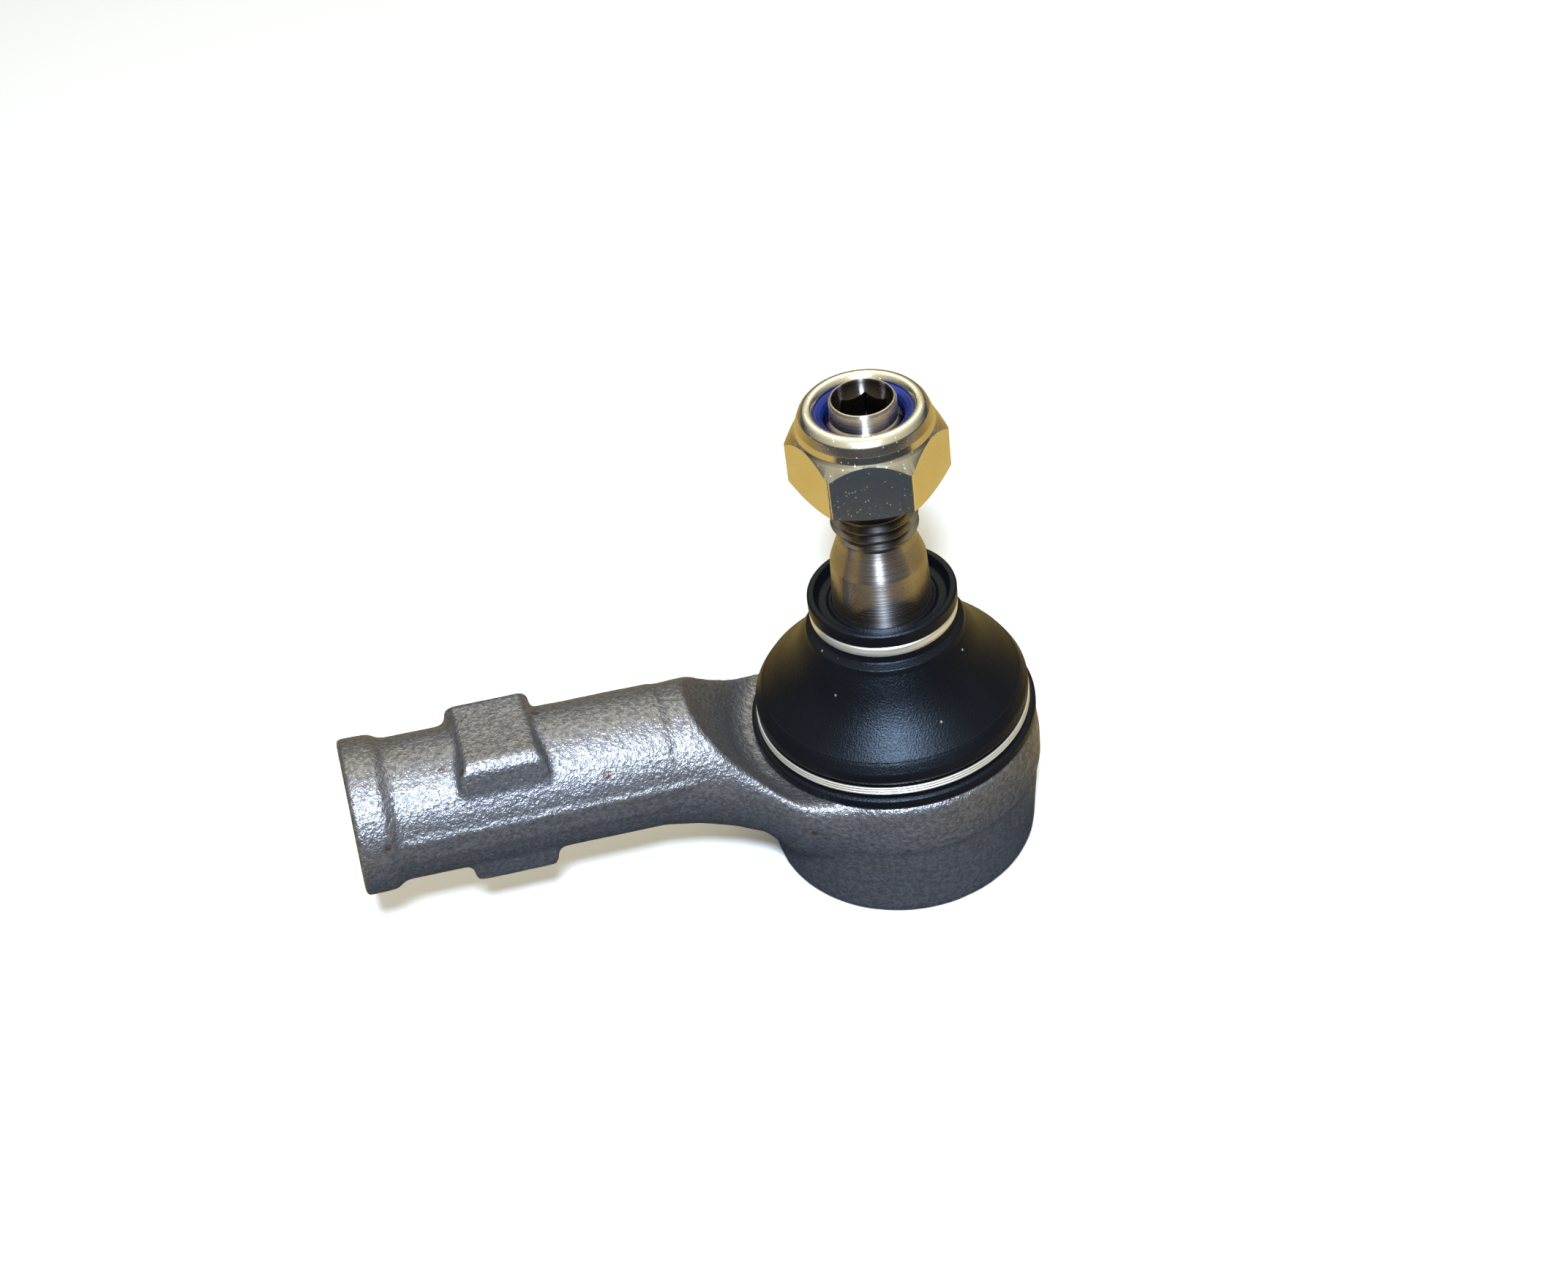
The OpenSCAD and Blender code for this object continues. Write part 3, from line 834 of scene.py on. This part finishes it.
class TIEROD_OT_nut(bpy.types.Operator):
    """Turn the nut's chamfers and rolled collar, mill its six flats and seat the nylon ring"""
    bl_idname = "tierod.nut"
    bl_label = "Lock nut"

    def execute(self, context):
        look = context.scene.tie_rod.nut
        foot, flat = NUT_FOOT, look.across_flats / 2
        top = foot + look.height
        corner = flat / math.cos(math.pi / 6)
        nut = turned("lock_nut_steel", outline([
            (6.72, foot, 0.1), (flat - 0.35, foot, 0.15), (corner + 0.25, foot + 1.0),
            (corner + 0.25, foot + 6.2), (flat + 0.05, foot + 8.55, 0.35), (flat - 0.2, foot + 8.95, 0.3),
            (9.1, foot + 9.9, 1.2), (8.65, top - 0.9, 0.8), (7.95, top - 0.02, 0.9), (7.0, top - 0.05, 0.6),
            (6.5, top - 0.75, 0.3), (6.6, top - 0.95, 0.1), (7.45, top - 0.95, 0.05), (7.45, foot + 8.9, 0.1),
            (6.03, foot + 8.85, 0.1), (6.03, foot + 0.65, 0.1)], closed=True), 240, closed=True)
        bar = hexagon("bar", look.across_flats, foot - 1, top + 1, math.radians(NUT_CORNER_ANGLE), 0.3)
        cut_with(nut, bar, "INTERSECT")
        modify(nut, "BEVEL", width=0.09 * MM, segments=2, limit_method="ANGLE", angle_limit=math.radians(22),
               use_clamp_overlap=True)
        smooth(nut, 60)
        modify(nut, "WEIGHTED_NORMAL", mode="FACE_AREA", weight=50, keep_sharp=True)
        dress(nut, nut_material(look), "nut_body", ["lock_nut"])

        low, high = (corner.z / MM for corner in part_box("nylon_insert"))
        ring = turned("nylon_locking_ring", outline([
            (look.grip_r + 0.35, low, 0.2), (7.35, low, 0.1), (7.35, high, 0.1), (6.3, high, 0.15),
            (look.grip_r + 0.25, high - 0.3, 0.3), (look.grip_r, high - 0.8, 0.2),
            (look.grip_r, low + 0.4, 0.2)], closed=True), 128, closed=True)
        smooth(ring, 60)
        dress(ring, nylon_material(look), "insert_body", ["nylon_insert"])
        return {"FINISHED"}


class TIEROD_OT_inside(bpy.types.Operator):
    """Press the end cap under the cup and finish the seats and spring inside it"""
    bl_idname = "tierod.inside"
    bl_label = "Cap, seats and spring"

    def execute(self, context):
        low, high = (corner.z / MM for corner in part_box("end_cap"))
        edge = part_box("end_cap")[1].x / MM
        cap = turned("pressed_end_cap", outline([
            (0.01, low + 0.5), (5.4, low + 0.5, 0.5), (6.2, low, 0.5), (edge, low, 0.1), (edge, high, 0.1),
            (0.01, high)]), 128)
        smooth(cap, 60)
        dress(cap, plain_steel_material("Cap Steel", (0.5, 0.49, 0.47), (0.42, 0.4, 0.36), 0.3),
              "housing_body", ["end_cap"])
        spring_steel = plain_steel_material("Spring Steel", (0.2, 0.21, 0.22), (0.15, 0.15, 0.16), 0.45)
        finishes = {"preload_spring": spring_steel, "lower_bearing_seat": seat_material(),
                    "upper_bearing_seat": seat_material()}
        for node, material in finishes.items():
            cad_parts[node].data.materials.clear()
            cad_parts[node].data.materials.append(material)
        return {"FINISHED"}


def oval(tree, where, middle, reach, core, edge):
    """A soft-edged oval on the card: 1 inside its core, 0 outside its edge, both in shares of its reach."""
    back = (-middle[0], -middle[1], -FLOOR_HEIGHT - CARD_LIFT)
    shifted = put(tree, "ShaderNodeVectorMath", {0: where, 1: back}, operation="ADD").outputs[0]
    shares = (1 / reach[0], 1 / reach[1], 1)
    shrunk = put(tree, "ShaderNodeVectorMath", {0: shifted, 1: shares}, operation="MULTIPLY").outputs[0]
    away = put(tree, "ShaderNodeVectorMath", {0: shrunk}, operation="LENGTH").outputs["Value"]
    return ramp(tree, away, core, edge, 1.0, 0.0)


def area_light(context, name, power, place, target, size, tint):
    """A square soft light aimed at a point."""
    light = bpy.data.lights.new(name, "AREA")
    light.size, light.energy, light.color = size, power, tint
    lamp = bpy.data.objects.new(name, light)
    context.scene.collection.objects.link(lamp)
    lamp.location = place
    lamp.rotation_euler = (Vector(target) - Vector(place)).to_track_quat("-Z", "Y").to_euler()


class TIEROD_OT_stage(bpy.types.Operator):
    """Lay the pale floor and set the lights and the camera"""
    bl_idname = "tierod.stage"
    bl_label = "Stage"

    def execute(self, context):
        look = context.scene.tie_rod.stage
        clear_selection()
        self.lay_floor(context, look)
        self.lay_card(context)
        self.light_room(context, look)
        area_light(context, "front_light", look.flash, **FRONT_LIGHT)
        area_light(context, "overhead_light", look.roof, **OVERHEAD_LIGHT)

        camera = bpy.data.cameras.new("view")
        camera.sensor_width, camera.lens = CAMERA_SENSOR, CAMERA_LENS
        camera.clip_start, camera.clip_end = 0.01, 20
        eye = bpy.data.objects.new("view", camera)
        context.scene.collection.objects.link(eye)
        eye.location = CAMERA_PLACE
        eye.rotation_euler = [math.radians(a) for a in CAMERA_TURN]
        context.scene.camera = eye
        context.scene.view_settings.view_transform = "Standard"
        return {"FINISHED"}

    def lay_floor(self, context, look):
        bpy.ops.mesh.primitive_plane_add(size=6, location=(0, 0, FLOOR_HEIGHT - FLOOR_DROP))
        floor = context.object
        floor.name = "pale_floor"
        material, tree, shader, where = new_material("Pale Floor", Roughness=0.7, Specular_IOR_Level=0.2)
        shade = patches(tree, where, 3.0, rgba(look.floor), rgba(look.floor, 0.985))
        feed(tree, shader, {"Base Color": shade.outputs["Color"]})
        floor.data.materials.append(material)

    def lay_card(self, context):
        """Lay a card seen only in the metal's reflections: warm, with painted shade in front of and under the
        part.
        """
        bpy.ops.mesh.primitive_plane_add(size=2.4, location=(0, 0, FLOOR_HEIGHT + CARD_LIFT))
        card = context.object
        bpy.ops.object.transform_apply(location=True)
        card.name = "warm_card"
        material, tree, shader, where = new_material("Warm Card", Roughness=0.8, Specular_IOR_Level=0.1)
        warm = patches(tree, where, 30.0, rgba(CARD_WARM), rgba(CARD_BROWN))
        # Painted shade, seen in reflections: dark ovals in front of the part and under it
        front = oval(tree, where, (-0.04, -0.33), (0.36, 0.26), 0.97, 1.03)
        under = oval(tree, where, (-0.035, -0.02), (0.09, 0.036), 0.7, 1.1)
        dark = mix_colour(tree, maths(tree, "MAXIMUM", front, under), warm.outputs["Color"], CARD_PAINTED_SHADE)
        feed(tree, shader, {"Base Color": dark})
        card.data.materials.append(material)
        card.visible_camera = card.visible_diffuse = card.visible_shadow = False

    def light_room(self, context, look):
        """Light the part plainly from all round, with a darker low part and a brighter top in reflections."""
        world = bpy.data.worlds.new("Room")
        context.scene.world = world
        world.use_nodes = True
        tree = world.node_tree
        way = put(tree, "ShaderNodeSeparateXYZ",
                  {0: tree.nodes.new("ShaderNodeTexCoord").outputs["Generated"]})
        sheen = mix_colour(tree, ramp(tree, way.outputs["Z"], 0.15, 0.85), ROOM_LOW, ROOM_HIGH)
        glossy = tree.nodes.new("ShaderNodeLightPath").outputs["Is Glossy Ray"]
        feed(tree, tree.nodes["Background"], {"Color": mix_colour(tree, glossy, ROOM_PLAIN, sheen),
                                              "Strength": look.room})


# ---------------------------------------------------------------- panel and registration

STEPS = (TIEROD_OT_housing, TIEROD_OT_stud, TIEROD_OT_boot, TIEROD_OT_rings, TIEROD_OT_nut, TIEROD_OT_inside,
         TIEROD_OT_stage)


class TIEROD_PT_panel(bpy.types.Panel):
    """Builds the tie rod end step by step"""
    bl_idname = "TIEROD_PT_panel"
    bl_label = "Tie Rod End"
    bl_space_type = "VIEW_3D"
    bl_region_type = "UI"
    bl_category = "Tie Rod End"

    def draw(self, context):
        for step in STEPS:
            self.layout.operator(step.bl_idname)
        for part in TieRodSettings.__annotations__:
            box = self.layout.box()
            box.label(text=part.title())
            settings = getattr(context.scene.tie_rod, part)
            for field in type(settings).__annotations__:
                box.prop(settings, field)


CLASSES = (HousingSettings, StudSettings, BootSettings, RingSettings, NutSettings, StageSettings,
           TieRodSettings, *STEPS, TIEROD_PT_panel)


def register():
    for cls in CLASSES:
        bpy.utils.register_class(cls)
    bpy.types.Scene.tie_rod = PointerProperty(type=TieRodSettings)


def unregister():
    del bpy.types.Scene.tie_rod
    for cls in reversed(CLASSES):
        bpy.utils.unregister_class(cls)


def main():
    """Build every piece and the stage."""
    register()
    bpy.ops.tierod.stage()
    bpy.ops.tierod.housing()
    bpy.ops.tierod.stud()
    bpy.ops.tierod.boot()
    bpy.ops.tierod.rings()
    bpy.ops.tierod.nut()
    bpy.ops.tierod.inside()


if __name__ == "__main__":
    main()
